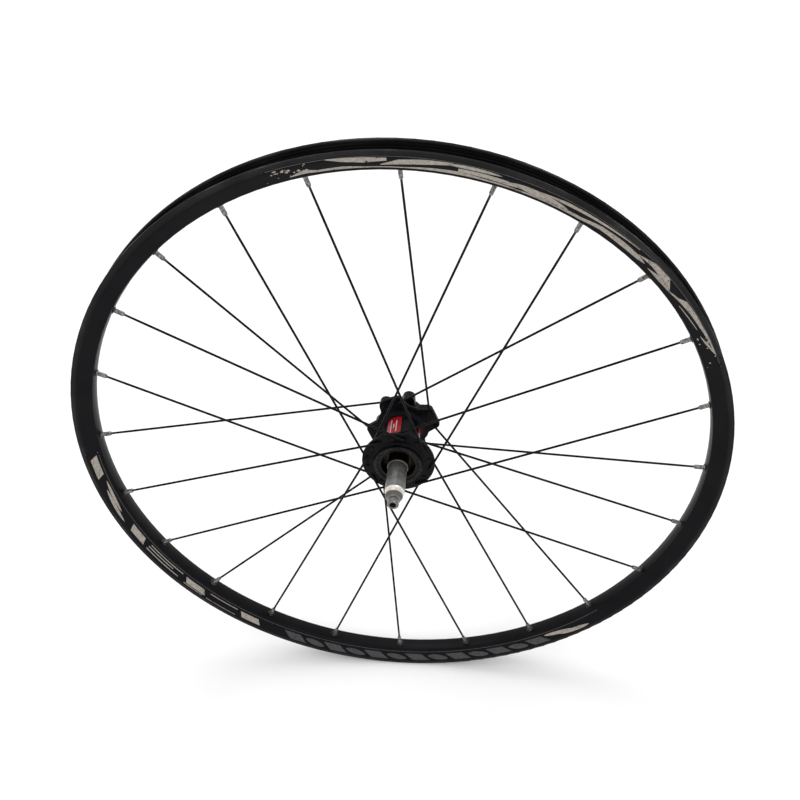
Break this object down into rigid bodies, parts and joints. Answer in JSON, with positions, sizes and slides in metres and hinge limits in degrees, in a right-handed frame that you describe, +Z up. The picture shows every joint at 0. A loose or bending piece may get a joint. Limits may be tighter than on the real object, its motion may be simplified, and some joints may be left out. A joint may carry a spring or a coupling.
{
  "type": "bicycle rear wheel",
  "caption": "Bare bicycle rear wheel: hollow rim, bent spokes, disc-brake hub and hollow quick-release axle, with tyre and freewheel body off.",
  "frame": {"origin": "the wheel's centre: the axle's axis in the middle plane of the rim", "axes": "+Y along the axle to the disc side, +Z up, +X across"},
  "size_m": [0.572, 0.1415, 0.572],
  "materials": {
    "black_rim": "satin black anodised",
    "rim_film": "gloss black printed film with worn pale shapes",
    "raw_aluminium": "raw",
    "black_spoke": "satin black",
    "nipple_silver": "dulled plated brass",
    "black_hub": "satin black anodised",
    "red_label": "glossy printed film",
    "dark_steel": "dark, greasy",
    "bearing_steel": "ground",
    "cage_plastic": "moulded",
    "seal_rubber": "matte",
    "satin_axle": "satin turned"
  },
  "bodies": {
    "axle_unit": {"axle": "satin_axle", "drive_sleeve": "satin_axle", "disc_spacer": "black_hub", "disc_dust_seal": "seal_rubber", "disc_lock_washer": "bearing_steel", "disc_locknut": "bearing_steel", "drive_bearing_inner_race": "bearing_steel", "disc_bearing_inner_race": "bearing_steel"},
    "wheel": {"rim": "black_rim", "spoke_01": "black_spoke", "spoke_02": "black_spoke", "spoke_03": "black_spoke", "spoke_04": "black_spoke", "spoke_05": "black_spoke", "spoke_06": "black_spoke", "spoke_07": "black_spoke", "spoke_08": "black_spoke", "spoke_09": "black_spoke", "spoke_10": "black_spoke", "spoke_11": "black_spoke", "spoke_12": "black_spoke", "spoke_13": "black_spoke", "spoke_14": "black_spoke", "spoke_15": "black_spoke", "spoke_16": "black_spoke", "spoke_17": "black_spoke", "spoke_18": "black_spoke", "spoke_19": "black_spoke", "spoke_20": "black_spoke", "spoke_21": "black_spoke", "spoke_22": "black_spoke", "spoke_23": "black_spoke", "spoke_24": "black_spoke", "rim_joint_sleeve": "raw_aluminium", "rim_films": "rim_film", "rim_eyelets": "nipple_silver", "nipples": "nipple_silver", "hub_shell": "black_hub", "hub_labels": "red_label", "ratchet_ring": "dark_steel", "bearing_retaining_ring": "dark_steel", "drive_bearing_outer_race": "bearing_steel", "drive_bearing_seals": "seal_rubber", "disc_bearing_outer_race": "bearing_steel", "disc_bearing_seals": "seal_rubber"},
    "drive_ball_set": {"drive_bearing_balls": "bearing_steel", "drive_bearing_cage": "cage_plastic"},
    "disc_ball_set": {"disc_bearing_balls": "bearing_steel", "disc_bearing_cage": "cage_plastic"}
  },
  "joints": [
    {"name": "wheel_spin", "type": "hinge", "parent": "axle_unit", "child": "wheel", "pos_m": [0, 0, 0], "axis": [0, 1, 0], "continuous": true},
    {"name": "drive_ball_orbit", "type": "hinge", "parent": "axle_unit", "child": "drive_ball_set", "pos_m": [0, -0.0069, 0], "axis": [0, 1, 0], "continuous": true},
    {"name": "disc_ball_orbit", "type": "hinge", "parent": "axle_unit", "child": "disc_ball_set", "pos_m": [0, 0.0504, 0], "axis": [0, 1, 0], "continuous": true}
  ],
  "couplings": [
    {"joint": "drive_ball_orbit", "follows": "wheel_spin", "ratio": 0.5787},
    {"joint": "disc_ball_orbit", "follows": "wheel_spin", "ratio": 0.5787}
  ]
}
